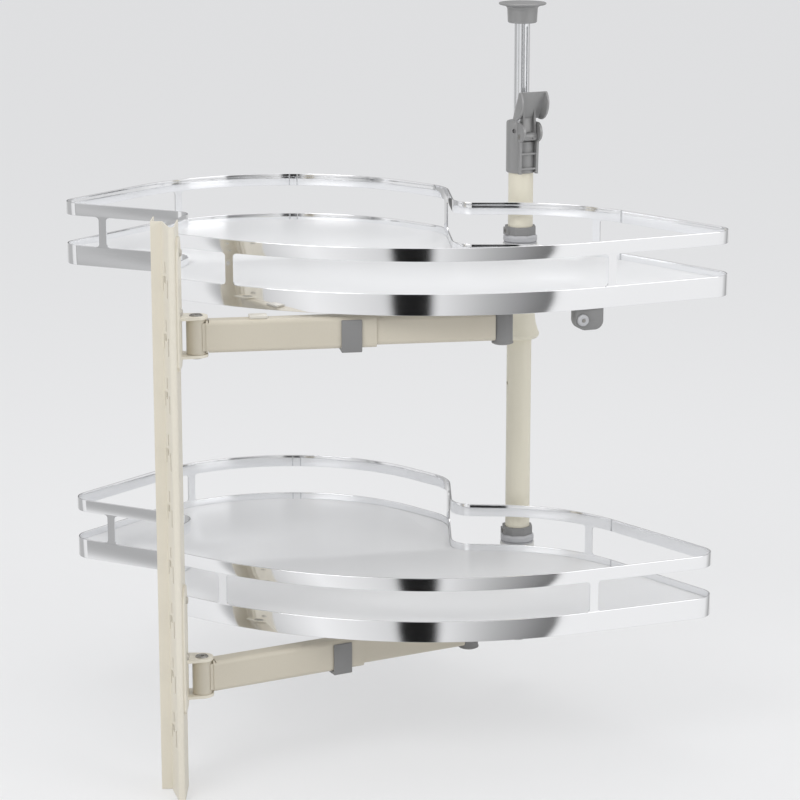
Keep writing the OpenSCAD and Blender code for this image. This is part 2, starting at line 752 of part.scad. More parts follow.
on_tray(lower_z, lower_turn) board();  // lower_board
on_tray(lower_z, lower_turn) gallery();  // lower_gallery
on_tray(lower_z, lower_turn) carrier_screws();  // lower_carrier_screws
column_tube();
column_foot();
clamp_housing();
clamp_lever();
clamp_lever_pin();
brace_rod();
ceiling_foot();
catch_bracket();
catch_roller();
catch_axle();
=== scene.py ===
# Blind corner pull-out organizer, dressed for a studio picture.
# Metres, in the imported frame: X along the trays, Y into the cabinet, Z up.
import math
import json

import bpy
import bmesh
from mathutils import Matrix, Vector


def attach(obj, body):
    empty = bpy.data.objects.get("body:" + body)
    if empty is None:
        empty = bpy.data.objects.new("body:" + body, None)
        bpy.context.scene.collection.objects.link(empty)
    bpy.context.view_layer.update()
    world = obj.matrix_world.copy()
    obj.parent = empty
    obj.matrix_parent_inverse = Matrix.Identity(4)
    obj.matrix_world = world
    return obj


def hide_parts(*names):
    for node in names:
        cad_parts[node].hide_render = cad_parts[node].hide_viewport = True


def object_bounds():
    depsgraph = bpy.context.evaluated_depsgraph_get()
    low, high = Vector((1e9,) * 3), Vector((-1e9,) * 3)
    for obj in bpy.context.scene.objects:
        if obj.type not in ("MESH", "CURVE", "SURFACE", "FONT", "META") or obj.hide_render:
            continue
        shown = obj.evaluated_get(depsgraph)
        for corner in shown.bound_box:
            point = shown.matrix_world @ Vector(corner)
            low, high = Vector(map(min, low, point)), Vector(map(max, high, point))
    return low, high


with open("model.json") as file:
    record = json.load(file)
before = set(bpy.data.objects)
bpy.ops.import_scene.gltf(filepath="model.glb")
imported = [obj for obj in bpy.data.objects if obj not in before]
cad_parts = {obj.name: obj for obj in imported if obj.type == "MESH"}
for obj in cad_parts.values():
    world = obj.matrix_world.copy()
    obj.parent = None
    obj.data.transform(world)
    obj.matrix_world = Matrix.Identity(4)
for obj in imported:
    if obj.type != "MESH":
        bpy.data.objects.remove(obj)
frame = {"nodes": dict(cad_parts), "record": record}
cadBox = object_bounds()
nodes = frame["nodes"]
print("frame loaded:", len(nodes), "nodes")

mm = 0.001


# Shader values written as expressions
class Value:
    def __init__(self, tree, socket):
        self.tree = tree
        self.socket = socket

    def maths(self, operation, *others, swap=False):
        node = self.tree.nodes.new("ShaderNodeMath")
        node.operation = operation
        terms = [self, *others]
        if swap:
            terms.reverse()
        for place, term in enumerate(terms):
            if isinstance(term, Value):
                self.tree.links.new(term.socket, node.inputs[place])
            else:
                node.inputs[place].default_value = term
        return Value(self.tree, node.outputs[0])

    def __add__(self, other):
        return self.maths("ADD", other)

    def __radd__(self, other):
        return self.maths("ADD", other, swap=True)

    def __sub__(self, other):
        return self.maths("SUBTRACT", other)

    def __rsub__(self, other):
        return self.maths("SUBTRACT", other, swap=True)

    def __mul__(self, other):
        return self.maths("MULTIPLY", other)

    def __rmul__(self, other):
        return self.maths("MULTIPLY", other, swap=True)

    def __truediv__(self, other):
        return self.maths("DIVIDE", other)

    def __abs__(self):
        return self.maths("ABSOLUTE")

    def below(self, other):
        return self.maths("LESS_THAN", other)

    def atMost(self, other):
        return self.maths("MINIMUM", other)

    def atLeast(self, other):
        return self.maths("MAXIMUM", other)


# Adds nodes to a shader tree
class ShaderKit:
    def __init__(self, tree):
        self.tree = tree

    def put(self, socket, value):
        if isinstance(value, Value):
            self.tree.links.new(value.socket, socket)
        else:
            socket.default_value = value

    # Any node: its type, its settings, then the values or links of its sockets
    def node(self, kind, settings=None, inputs=None, output=0):
        made = self.tree.nodes.new(kind)
        for name, value in (settings or {}).items():
            if name == "stops":
                ramp = made.color_ramp
                while len(ramp.elements) < len(value):
                    ramp.elements.new(0.5)
                for element, (place, tone) in zip(ramp.elements, value):
                    element.position = place
                    element.color = (tone, tone, tone, 1.0)
            else:
                setattr(made, name, value)
        for name, value in (inputs or {}).items():
            self.put(made.inputs[name], value)
        return Value(self.tree, made.outputs[output])

    def components(self, vector):
        split = self.node("ShaderNodeSeparateXYZ", inputs={"Vector": vector})
        return [Value(self.tree, end) for end in split.socket.node.outputs]

    # Mix of two colours, whose sockets are inputs 6 and 7 and output 2
    def mixed(self, factor, first, second):
        made = self.tree.nodes.new("ShaderNodeMix")
        made.data_type = "RGBA"
        self.put(made.inputs["Factor"], factor)
        self.put(made.inputs[6], first)
        self.put(made.inputs[7], second)
        return Value(self.tree, made.outputs[2])

    def blendShaders(self, factor, first, second):
        made = self.tree.nodes.new("ShaderNodeMixShader")
        for socket, value in zip(made.inputs, (factor, first, second)):
            self.put(socket, value)
        return Value(self.tree, made.outputs[0])


# One material: a Principled shader and the nodes that feed it
class Finish(ShaderKit):
    def __init__(self, name, colour, roughness, metallic=0.0, **fixed):
        self.material = bpy.data.materials.new(name)
        self.material.use_nodes = True
        self.material.diffuse_color = (*colour, 1.0)
        super().__init__(self.material.node_tree)
        self.shader = self.tree.nodes["Principled BSDF"]
        self.colour = (*colour, 1.0)
        self.feed("Base Color", self.colour)
        self.feed("Roughness", roughness)
        self.feed("Metallic", metallic)
        for socket, value in fixed.items():
            self.feed(socket.replace("_", " "), value)

    def feed(self, socket, value):
        self.put(self.shader.inputs[socket], value)

    def place(self, stretch=None):
        here = self.node("ShaderNodeTexCoord", output="Object")
        if stretch is None:
            return here
        return self.node("ShaderNodeMapping", inputs={"Vector": here, "Scale": stretch})

    def noise(self, scale, detail=2.0, rough=0.5, stretch=None):
        return self.node(
            "ShaderNodeTexNoise",
            {"noise_dimensions": "3D"},
            {"Vector": self.place(stretch), "Scale": scale, "Detail": detail, "Roughness": rough},
        )

    def cells(self, scale):
        return self.node("ShaderNodeTexVoronoi", inputs={"Vector": self.place(), "Scale": scale})

    # Base colour that drifts towards another by a factor
    def tint(self, factor, towards):
        drifted = self.mixed(factor, self.colour, (*towards, 1.0))
        self.feed("Base Color", drifted)
        return drifted

    def bump(self, height, depth):
        self.feed("Normal", self.node("ShaderNodeBump", inputs={"Height": height, "Distance": depth}))


def powderCoat(name, colour, shade, peel=0.00006):
    coat = Finish(name, colour, 0.4, Coat_Weight=0.12, Coat_Roughness=0.3)
    drift = coat.noise(7.0, 3.0)
    grain = coat.noise(620.0, 1.5)
    fine = coat.noise(1900.0, 1.0)
    coat.tint((drift * 0.7 + grain * 0.25).atMost(1.0), shade)
    coat.feed("Roughness", 0.36 + drift * 0.1 + fine * 0.06)
    coat.bump(grain * 0.75 + fine * 0.25, peel)
    return coat.material


seamSize = {"reach": 0.03, "halfWidth": 0.0011}


# Polished strip with a dull weld line across it at each seam
def galleryChrome(name, seams):
    chrome = Finish(name, (0.9, 0.905, 0.92), 0.06, 1.0)
    x, y, _ = chrome.components(chrome.place())
    polish = chrome.noise(1.0, 2.0, stretch=(18.0, 18.0, 2600.0))
    haze = chrome.noise(14.0, 3.0)
    rough = 0.045 + polish * 0.035 + haze * 0.03
    seam = None
    for seamX, seamY, turn in seams:
        away = abs((x - seamX) * math.cos(turn) + (y - seamY) * math.sin(turn))
        near = (abs(x - seamX) + abs(y - seamY)).below(seamSize["reach"])
        line = near * (1.0 - (away / seamSize["halfWidth"]).atMost(1.0))
        seam = line if seam is None else seam.atLeast(line)
    chrome.tint((seam * 0.75 + haze * 0.06).atMost(1.0), (0.42, 0.43, 0.45))
    chrome.feed("Roughness", (rough + seam * 0.3).atMost(1.0))
    chrome.bump(polish * 0.2 - seam, 0.00004)
    return chrome.material


def rodChrome(name):
    rod = Finish(name, (0.86, 0.87, 0.89), 0.09, 1.0)
    turned = rod.noise(1.0, 2.0, stretch=(30.0, 30.0, 3800.0))
    haze = rod.noise(22.0, 3.0)
    rod.tint((haze * 0.35).atMost(1.0), (0.6, 0.61, 0.63))
    rod.feed("Roughness", 0.17 + turned * 0.07 + haze * 0.05)
    rod.bump(turned, 0.00002)
    return rod.material


def melamine(name):
    face = Finish(name, (0.9, 0.9, 0.9), 0.3, Coat_Weight=0.1, Coat_Roughness=0.15)
    cloud = face.noise(5.5, 4.0, 0.6)
    speck = face.noise(1500.0, 1.5)
    film = face.noise(2.2, 2.0)
    face.tint(((cloud - 0.45).atLeast(0.0) * 0.9 + speck * 0.06).atMost(1.0), (0.84, 0.84, 0.845))
    face.feed("Roughness", 0.3 + cloud * 0.14 + film * 0.06)
    face.bump(speck, 0.000012)
    return face.material


def mouldedPlastic(name, colour, shade, grain=0.00004, rough=0.42):
    plastic = Finish(name, colour, rough)
    pits = plastic.cells(1500.0)
    flow = plastic.noise(26.0, 3.0)
    fine = plastic.noise(2400.0, 1.0)
    plastic.tint((flow * 0.5 + fine * 0.15).atMost(1.0), shade)
    plastic.feed("Roughness", rough - 0.06 + flow * 0.12)
    plastic.bump(pits * 0.6 + fine * 0.4, grain)
    return plastic.material


def castMetal(name, colour, shade):
    cast = Finish(name, colour, 0.36, 0.2, Coat_Weight=0.25, Coat_Roughness=0.2)
    skin = cast.noise(420.0, 3.0)
    cloud = cast.noise(18.0, 3.0)
    cast.tint((cloud * 0.55 + skin * 0.25).atMost(1.0), shade)
    cast.feed("Roughness", 0.3 + cloud * 0.1 + skin * 0.08)
    cast.bump(skin, 0.00009)
    return cast.material


def zincSteel(name, colour=(0.6, 0.6, 0.61), metallic=0.9, rough=0.24):
    zinc = Finish(name, colour, 0.3, metallic)
    spangle = zinc.cells(700.0)
    rub = zinc.noise(160.0, 3.0)
    zinc.tint((spangle * 0.4 + rub * 0.3).atMost(1.0), (0.38, 0.37, 0.35))
    zinc.feed("Roughness", rough + rub * 0.2)
    zinc.bump(rub, 0.00003)
    return zinc.material


# The column's axis, and how far the lower tray is turned about it
columnAt = Vector((0.415, 0.322))
turnOfLower = math.radians(-3.0)


def onLower(x, y):
    c, s = math.cos(turnOfLower), math.sin(turnOfLower)
    dx, dy = x - columnAt.x, y - columnAt.y
    return columnAt.x + c * dx - s * dy, columnAt.y + s * dx + c * dy


# Weld seams of the galleries: x, y and the direction of the strip there
upperSeams = [(0.128, 0.515, 0.0), (0.53, 0.24, math.radians(-45.0))]
lowerSeams = [(*onLower(x, y), turn + turnOfLower) for x, y, turn in upperSeams]

finishes = {
    "rail_paint": powderCoat("railPowderCoat", (0.87, 0.82, 0.71), (0.76, 0.71, 0.59), 0.00008),
    "arm_paint": powderCoat("armPowderCoat", (0.67, 0.62, 0.515), (0.57, 0.52, 0.42)),
    "column_paint": powderCoat("columnPowderCoat", (0.84, 0.8, 0.67), (0.76, 0.71, 0.57), 0.00004),
    "hub_paint": powderCoat("hubPaint", (0.74, 0.735, 0.71), (0.66, 0.65, 0.62), 0.00004),
    "screw_steel": zincSteel("screwZinc", (0.62, 0.58, 0.5), 0.4, 0.4),
    "pin_steel": zincSteel("pinSteel", (0.3, 0.29, 0.27)),
    "grey_plastic": mouldedPlastic("greyPlastic", (0.265, 0.263, 0.26), (0.21, 0.208, 0.206)),
    "cream_plastic": mouldedPlastic("creamPlastic", (0.74, 0.71, 0.64), (0.66, 0.63, 0.56)),
    "ring_plastic": mouldedPlastic("ringPlastic", (0.52, 0.52, 0.53), (0.45, 0.45, 0.47)),
    "clamp_grey": castMetal("clampCasting", (0.335, 0.333, 0.33), (0.26, 0.258, 0.255)),
    "board_white": melamine("whiteMelamine"),
    "gallery_chrome": galleryChrome("galleryChrome", upperSeams + lowerSeams),
    "rod_chrome": rodChrome("rodChrome"),
}
slotOf = {part["node"]: part["material_slot"] for part in frame["record"]["subparts"]}
bodyOf = {
    node: body for body, members in frame["record"]["behaviour"]["bodies"].items() for node in members
}
print("finishes made:", len(finishes))


def dress(obj, slotName):
    obj.data.materials.clear()
    obj.data.materials.append(finishes[slotName])
    for face in obj.data.polygons:
        face.material_index = 0


for name, obj in nodes.items():
    dress(obj, slotOf[name])


def linked(name, data):
    obj = bpy.data.objects.new(name, data)
    bpy.context.scene.collection.objects.link(obj)
    return obj


# A finished piece that stands for one CAD node
def addPiece(name, mesh, body, slotName, node):
    piece = linked(name, mesh)
    dress(piece, slotName)
    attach(piece, body)
    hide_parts(node)


# From the column's axis at a height, turned about it, to the frame
def atColumn(height, turn):
    return Matrix.Translation((columnAt.x, columnAt.y, height)) @ Matrix.Rotation(turn, 4, "Z")


def smoothed(mesh, angle=32.0):
    mesh.shade_smooth()
    mesh.set_sharp_from_angle(angle=math.radians(angle))
    return mesh


# Folds under the first angle count as flat, folds over the second as edges (degrees)
edgeFold = {"flat": 0.8, "sharp": 28.0, "weld": 2e-6, "weldAfter": 1e-6, "segments": 2}


# A CAD node again with its edges broken, as a press or a mould leaves them
def softened(node, width):
    bm = bmesh.new()
    bm.from_mesh(nodes[node].data)
    bmesh.ops.remove_doubles(bm, verts=bm.verts, dist=edgeFold["weld"])
    flat, sharp = (math.radians(edgeFold[k]) for k in ("flat", "sharp"))
    bmesh.ops.dissolve_limit(bm, angle_limit=flat, verts=bm.verts, edges=bm.edges)
    edges = [e for e in bm.edges if len(e.link_faces) == 2 and e.calc_face_angle(0.0) > sharp]
    bmesh.ops.bevel(
        bm, geom=edges, offset=width, offset_type="OFFSET", segments=edgeFold["segments"], profile=0.5,
        affect="EDGES", clamp_overlap=True,
    )
    bmesh.ops.remove_doubles(bm, verts=bm.verts, dist=edgeFold["weldAfter"])
    mesh = bpy.data.meshes.new(node + "_soft")
    bm.to_mesh(mesh)
    bm.free()
    addPiece(node + "_soft", smoothed(mesh), bodyOf[node], slotOf[node], node)


edgeBreaks = {
    "upper_board": 0.0011, "lower_board": 0.0011,
    "upper_arm_clip": 0.0009, "lower_arm_clip": 0.0009,
    "upper_arm_end": 0.0008, "lower_arm_end": 0.0008,
    "upper_bracket": 0.0006, "lower_bracket": 0.0006,
    "upper_hub_carrier": 0.0008, "lower_hub_carrier": 0.0008,
    "upper_lock_collar": 0.0009, "lower_lock_collar": 0.0009,
    "upper_hinge_pin": 0.0006, "lower_hinge_pin": 0.0006,
    "catch_bracket": 0.0014, "catch_roller": 0.0005,
    "upper_glide_pad": 0.0008, "ceiling_foot": 0.0008,
    "upper_support_collar": 0.0006, "lower_support_collar": 0.0006,
}
for node, width in edgeBreaks.items():
    softened(node, width)
print("edges broken:", len(edgeBreaks))


# Tray outline in millimetres from the column: circles (x, y, radius, side) that a taut belt runs
# round, on its inner side for 1 and its outer side for -1
trayOutline = {
    "circles": [
        (202, -205, 24, 1), (-23, -224, 199, 1), (-57, -1, 24, -1),
        (-147, 63, 62, 1), (-287, -35, 228, 1), (-523, -13, 24, 1),
        (-417, -109, 22, -1), (-373, -196, 48, 1), (-117, 154, 480, 1),
    ],
    "arcStep": 2.5,
}
gallerySize = {
    "bandHeight": 24 * mm, "windowHeight": 36 * mm, "railHeight": 15 * mm,
    "strip": 1.74 * mm, "setIn": 0.26 * mm, "edge": 0.45 * mm, "post": 10 * mm, "corner": 4 * mm,
    "posts": [(8, 243.0), (8, 295.5), (1, 56.0), (4, 127.7), (3, 15.5)],  # circle, degrees on it
    "edgePost": 0.26,  # share of the straight between circles 5 and 6
    "postSink": 0.6 * mm, "postSteps": 6,
    "upperLow": 0.497, "lowerLow": 0.120,
}


# Direction in which the belt lies off circle a where it leaves for circle b
def leavingNormal(a, b):
    dx, dy = b[0] - a[0], b[1] - a[1]
    reach = (a[2] * a[3] - b[2] * b[3]) / math.hypot(dx, dy)
    return math.atan2(dy, dx) - math.acos(reach)


def onCircle(circle, inset, a):
    cx, cy, r, side = circle
    reach = side * r - inset
    return (cx + reach * math.cos(a)) * mm, (cy + reach * math.sin(a)) * mm


# The belt as [(x, y, outward direction)], metres from the column
def beltPoints(inset):
    circles = trayOutline["circles"]
    step = math.radians(trayOutline["arcStep"])
    points = []
    for i, here in enumerate(circles):
        before, after = circles[i - 1], circles[(i + 1) % len(circles)]
        start = leavingNormal(before, here)
        turn = leavingNormal(here, after) - start
        turn = turn % math.tau if here[3] > 0 else -((-turn) % math.tau)
        count = max(2, math.ceil(abs(turn) / step))
        for k in range(count + 1):
            a = start + turn * k / count
            points.append((*onCircle(here, inset, a), a))
    return points


def postPlaces(inset):
    circles = trayOutline["circles"]
    places = []
    for index, degrees in gallerySize["posts"]:
        a = math.radians(degrees)
        places.append((*onCircle(circles[index], inset, a), a))
    tip, notch = circles[5], circles[6]
    a = leavingNormal(tip, notch)
    share = gallerySize["edgePost"]
    near, far = onCircle(tip, inset, a), onCircle(notch, inset, a)
    places.append((*(near[k] + share * (far[k] - near[k]) for k in (0, 1)), a))
    return places


# One post, flared where it joins band and rail, in the XZ plane from z = 0
def postMesh():
    g = gallerySize
    r, h, half, steps = g["corner"], g["windowHeight"], g["strip"] / 2, g["postSteps"]
    root = g["post"] / 2 + r
    side = [(root, -g["postSink"])]
    for k in range(steps + 1):
        t = math.pi / 2 * k / steps
        side.append((root - r * math.sin(t), r * (1 - math.cos(t))))
    for k in range(steps + 1):
        t = math.pi / 2 * k / steps
        side.append((root - r * math.cos(t), h - r * (1 - math.sin(t))))
    side.append((root, h + g["postSink"]))
    bm = bmesh.new()
    rows = []
    for x, z in side:
        rows.append([bm.verts.new((sx * x, sy * half, z)) for sx in (-1, 1) for sy in (-1, 1)])
    for low, high in zip(rows, rows[1:]):
        for a, b in ((0, 2), (3, 1), (2, 3), (1, 0)):
            bm.faces.new((low[a], low[b], high[b], high[a]))
    bm.faces.new((rows[0][0], rows[0][1], rows[0][3], rows[0][2]))
    bm.faces.new((rows[-1][2], rows[-1][3], rows[-1][1], rows[-1][0]))
    bmesh.ops.recalc_face_normals(bm, faces=bm.faces)
    mesh = bpy.data.meshes.new("galleryPost")
    bm.to_mesh(mesh)
    bm.free()
    return mesh


# Tree that sweeps both strips along the outline and puts a post on each marked point, and the
# identifiers of its inputs
def galleryTree():
    tree = bpy.data.node_groups.new("galleryStrip", "GeometryNodeTree")
    face = tree.interface
    face.new_socket("Geometry", in_out="INPUT", socket_type="NodeSocketGeometry")
    ids = {}
    for label, kind in (
        ("Band height", "NodeSocketFloat"), ("Window height", "NodeSocketFloat"),
        ("Rail height", "NodeSocketFloat"), ("Strip thickness", "NodeSocketFloat"),
        ("Edge radius", "NodeSocketFloat"), ("Post", "NodeSocketObject"), ("Finish", "NodeSocketMaterial"),
    ):
        ids[label] = face.new_socket(label, in_out="INPUT", socket_type=kind).identifier
    face.new_socket("Geometry", in_out="OUTPUT", socket_type="NodeSocketGeometry")
    add, link = tree.nodes.new, tree.links.new
    given, result = add("NodeGroupInput"), add("NodeGroupOutput")

    marked = add("GeometryNodeInputNamedAttribute")
    marked.data_type = "FLOAT"
    marked.inputs["Name"].default_value = "isPost"
    split = add("GeometryNodeSeparateGeometry")
    split.domain = "POINT"
    link(given.outputs["Geometry"], split.inputs["Geometry"])
    link(marked.outputs["Attribute"], split.inputs["Selection"])

    path = add("GeometryNodeMeshToCurve")
    link(split.outputs["Inverted"], path.inputs["Mesh"])
    upright = add("GeometryNodeSetCurveNormal")
    upright.mode = "Z_UP"
    link(path.outputs["Curve"], upright.inputs["Curve"])

    def maths(operation, a, b):
        node = add("ShaderNodeMath")
        node.operation = operation
        for socket, value in zip(node.inputs, (a, b)):
            if isinstance(value, (int, float)):
                socket.default_value = value
            else:
                link(value, socket)
        return node.outputs[0]

    def strip(height, centre):
        section = add("GeometryNodeCurvePrimitiveQuadrilateral")
        link(given.outputs["Strip thickness"], section.inputs["Width"])
        link(height, section.inputs["Height"])
        rounded = add("GeometryNodeFilletCurve")
        rounded.mode = "POLY"
        rounded.inputs["Count"].default_value = 3
        link(section.outputs["Curve"], rounded.inputs["Curve"])
        link(given.outputs["Edge radius"], rounded.inputs["Radius"])
        swept = add("GeometryNodeCurveToMesh")
        link(upright.outputs["Curve"], swept.inputs["Curve"])
        link(rounded.outputs["Curve"], swept.inputs["Profile Curve"])
        lift = add("ShaderNodeCombineXYZ")
        link(centre, lift.inputs["Z"])
        moved = add("GeometryNodeTransform")
        link(swept.outputs["Mesh"], moved.inputs["Geometry"])
        link(lift.outputs["Vector"], moved.inputs["Translation"])
        return moved.outputs["Geometry"]

    band, window, rail = (given.outputs[k] for k in ("Band height", "Window height", "Rail height"))
    windowTop = maths("ADD", band, window)
    parts = [
        strip(band, maths("MULTIPLY", band, 0.5)),
        strip(rail, maths("ADD", windowTop, maths("MULTIPLY", rail, 0.5))),
    ]

    turn = add("GeometryNodeInputNamedAttribute")
    turn.data_type = "FLOAT"
    turn.inputs["Name"].default_value = "turn"
    angle = add("ShaderNodeCombineXYZ")
    link(turn.outputs["Attribute"], angle.inputs["Z"])
    rotation = add("FunctionNodeEulerToRotation")
    link(angle.outputs["Vector"], rotation.inputs["Euler"])
    shape = add("GeometryNodeObjectInfo")
    link(given.outputs["Post"], shape.inputs["Object"])
    put = add("GeometryNodeInstanceOnPoints")
    link(split.outputs["Selection"], put.inputs["Points"])
    link(shape.outputs["Geometry"], put.inputs["Instance"])
    link(rotation.outputs["Rotation"], put.inputs["Rotation"])
    lift = add("ShaderNodeCombineXYZ")
    link(band, lift.inputs["Z"])
    raised = add("GeometryNodeTranslateInstances")
    link(put.outputs["Instances"], raised.inputs["Instances"])
    link(lift.outputs["Vector"], raised.inputs["Translation"])

    joined = add("GeometryNodeJoinGeometry")
    for part in [raised.outputs["Instances"]] + parts:
        link(part, joined.inputs["Geometry"])
    real = add("GeometryNodeRealizeInstances")
    link(joined.outputs["Geometry"], real.inputs["Geometry"])
    finish = add("GeometryNodeSetMaterial")
    link(real.outputs["Geometry"], finish.inputs["Geometry"])
    link(given.outputs["Finish"], finish.inputs["Material"])
    link(finish.outputs["Geometry"], result.inputs["Geometry"])
    return tree, ids


galleryStrip, galleryInputs = galleryTree()


# Plain mesh of an object with its modifiers applied; the object goes
def settled(obj, name):
    graph = bpy.context.evaluated_depsgraph_get()
    mesh = bpy.data.meshes.new_from_object(obj.evaluated_get(graph))
    mesh.name = name
    obj.modifiers.clear()
    bpy.data.objects.remove(obj)
    return mesh


# The outline as a ring of edges, then a loose point for each post
def galleryPath(name):
    inset = (gallerySize["strip"] / 2 + gallerySize["setIn"]) / mm
    belt, posts = beltPoints(inset), postPlaces(inset)
    mesh = bpy.data.meshes.new(name + "Path")
    points = [(x, y, 0.0) for x, y, _ in belt + posts]
    count = len(belt)
    mesh.from_pydata(points, [(i, (i + 1) % count) for i in range(count)], [])
    isPost = mesh.attributes.new("isPost", "FLOAT", "POINT")
    turns = mesh.attributes.new("turn", "FLOAT", "POINT")
    for i in range(count, len(points)):
        isPost.data[i].value = 1.0
        turns.data[i].value = posts[i - count][2] + math.pi / 2
    return linked(name + "Path", mesh)


def makeGallery(name, bandLow, turn, body, node):
    g = gallerySize
    path = galleryPath(name)
    post = linked("postShape", postMesh())
    modifier = path.modifiers.new("gallery", "NODES")
    modifier.node_group = galleryStrip
    for label, value in (
        ("Band height", g["bandHeight"]), ("Window height", g["windowHeight"]),
        ("Rail height", g["railHeight"]), ("Strip thickness", g["strip"]),
        ("Edge radius", g["edge"]), ("Post", post), ("Finish", finishes["gallery_chrome"]),
    ):
        modifier[galleryInputs[label]] = value
    made = settled(path, name)
    bpy.data.objects.remove(post)
    made.transform(atColumn(bandLow, turn))
    addPiece(name, smoothed(made, 40.0), body, "gallery_chrome", node)


makeGallery("upperGalleryStrip", gallerySize["upperLow"], 0.0, "upper_tray", "upper_gallery")
makeGallery("lowerGalleryStrip", gallerySize["lowerLow"], turnOfLower, "lower_tray", "lower_gallery")
print("galleries swept")


# Clamp in millimetres before its turn about the column; points and profiles are (y, z) from the side
clampSize = {
    "turn": 24.0, "low": 605.0, "high": 667.0, "columnTop": 640.0,
    "sleeve": 18.0, "tube": 15.1, "rod": 9.7, "footBreak": 0.8, "topRound": 2.4, "topCorner": 0.7,
    "pivot": (-19.0, 650.0), "pinBore": 3.1, "pinHalf": 12.9, "pinPlay": 0.1,
    "cheekOuter": 12.5, "cheek": 3.0, "cheekCentre": (-20.5, 655.5), "cheekRadius": 11.5,
    "cheekArc": (90.0, 250.0), "cheekBack": -6.0,
    "finTop": (-3.4, 1.2), "finShoulder": 0.6, "finWaist": (-1.8, 1.0), "finFoot": (-2.6, 1.8),
    "web": 1.0, "webBack": -8.0, "ribs": (610.0, 628.0), "rib": 2.2, "ribHalfDepth": 1.6, "ribBite": 0.5,
    "seatFront": -60.0, "seatBack": -12.7, "seatUnderPivot": 7.0,
    "sideHoleHeight": 656.0, "sideHoleRadius": 2.6, "sideHoleTurn": -145.0, "sideHoleReach": 3.0,
    "past": 9.0, "boreHalf": 20.0, "bevel": 0.7 * mm, "pinBevel": 0.4 * mm,
}
leverSize = {
    "barrel": 5.5, "half": 9.0, "backInset": 0.5, "rib": 7.4, "ribThick": 2.2, "paddle": 18.0, "wing": 2.4,
    "wingProud": 0.02, "pinPlay": 0.3, "recess": (-27.0, 647.4, -22.9, 649.2), "recessWidth": (0.5, 4.0),
    "bevel": 0.8 * mm,
}
leverProfiles = {
    "paddle": [(-31.5, 704.5), (-15.5, 671.0), (-13.3, 671.6), (-28.9, 704.5)],
    "back": [(-16.6, 652.0), (-14.7, 652.0), (-13.6, 671.4), (-15.8, 671.2)],
    "rib": [
        (-23.5, 650.0), (-14.6, 650.0), (-14.6, 660.0), (-14.9, 671.0), (-22.2, 685.1), (-20.5, 680.0),
        (-23.0, 655.0),
    ],
    "wing": [
        (-28.9, 704.5), (-31.5, 704.5), (-35.1, 700.5), (-37.3, 695.5), (-37.7, 690.5), (-36.5, 684.5),
        (-33.1, 678.0), (-28.0, 673.0), (-21.5, 670.0), (-13.9, 670.0), (-13.3, 671.6),
    ],
}


def prism(bm, profile, low, high):
    rings = [[bm.verts.new((x * mm, y * mm, z * mm)) for y, z in profile] for x in (low, high)]
    count = len(profile)
    for k in range(count):
        j = (k + 1) % count
        bm.faces.new((rings[0][k], rings[0][j], rings[1][j], rings[1][k]))
    bm.faces.new(rings[0])
    bm.faces.new(rings[1])


# Arc of a disc in degrees; a full turn leaves its last point out
def discProfile(centre, radius, first=0.0, last=360.0, step=10.0):
    count = round(abs(last - first) / step)
    ends = 0 if last - first == 360.0 else 1
    turns = [math.radians(first + (last - first) * k / count) for k in range(count + ends)]
    return [(centre[0] + radius * math.cos(a), centre[1] + radius * math.sin(a)) for a in turns]


def boxProfile(y0, z0, y1, z1):
    return [(y0, z0), (y1, z0), (y1, z1), (y0, z1)]


# Turned body round the Z axis from a closed (radius, height) profile
def lathe(bm, profile, count=64):
    rings = []
    for k in range(count):
        a = math.tau * k / count
        ring = [(r * math.cos(a) * mm, r * math.sin(a) * mm, z * mm) for r, z in profile]
        rings.append([bm.verts.new(point) for point in ring])
    for k in range(count):
        here, after = rings[k], rings[(k + 1) % count]
        for i in range(len(profile)):
            j = (i + 1) % len(profile)
            bm.faces.new((here[i], after[i], after[j], here[j]))


# Object of one closed shape, made by prism or lathe from the values given
def closed(name, make, *values):
    bm = bmesh.new()
    make(bm, *values)
    bmesh.ops.recalc_face_normals(bm, faces=bm.faces)
    mesh = bpy.data.meshes.new(name)
    bm.to_mesh(mesh)
    bm.free()
    return linked(name, mesh)


def joinedTo(name, profile, low, high):
    return "UNION", closed(name, prism, profile, *sorted((low, high)))


def cutFrom(name, profile, low, high):
    return "DIFFERENCE", closed(name, prism, profile, low, high)


# First body with every other one cut out of it or joined to it, edges broken, as one plain mesh
def carved(name, body, others, width):
    for operation, other in others:
        step = body.modifiers.new("carve", "BOOLEAN")
        step.operation = operation
        step.object = other
        step.solver = "EXACT"
    edge = body.modifiers.new("edge", "BEVEL")
    edge.width = width
    edge.segments = 2
    edge.limit_method = "ANGLE"
    edge.angle_limit = math.radians(35.0)
    edge.use_clamp_overlap = True
    mesh = settled(body, name)
    for _, other in others:
        bpy.data.objects.remove(other)
    mesh.transform(atColumn(0.0, math.radians(clampSize["turn"])))
    return smoothed(mesh)


# Cheek from the side: its rounded end, then the fin that runs down the sleeve
def cheekProfile():
    c = clampSize
    py, low = c["pivot"][0], c["low"]
    cz, r = c["cheekCentre"][1], c["cheekRadius"]
    (topOut, topIn), waist, (footOut, footIn) = c["finTop"], c["finWaist"], c["finFoot"]
    return [
        (c["cheekBack"], cz + r), *discProfile(c["cheekCentre"], r, *c["cheekArc"]),
        (py + topOut, cz - r - c["finShoulder"]), (py + waist[0], low + waist[1]),
        (py + footOut, low), (py + footIn, low), (py + topIn, cz - r), (c["cheekBack"], cz - r),
    ]


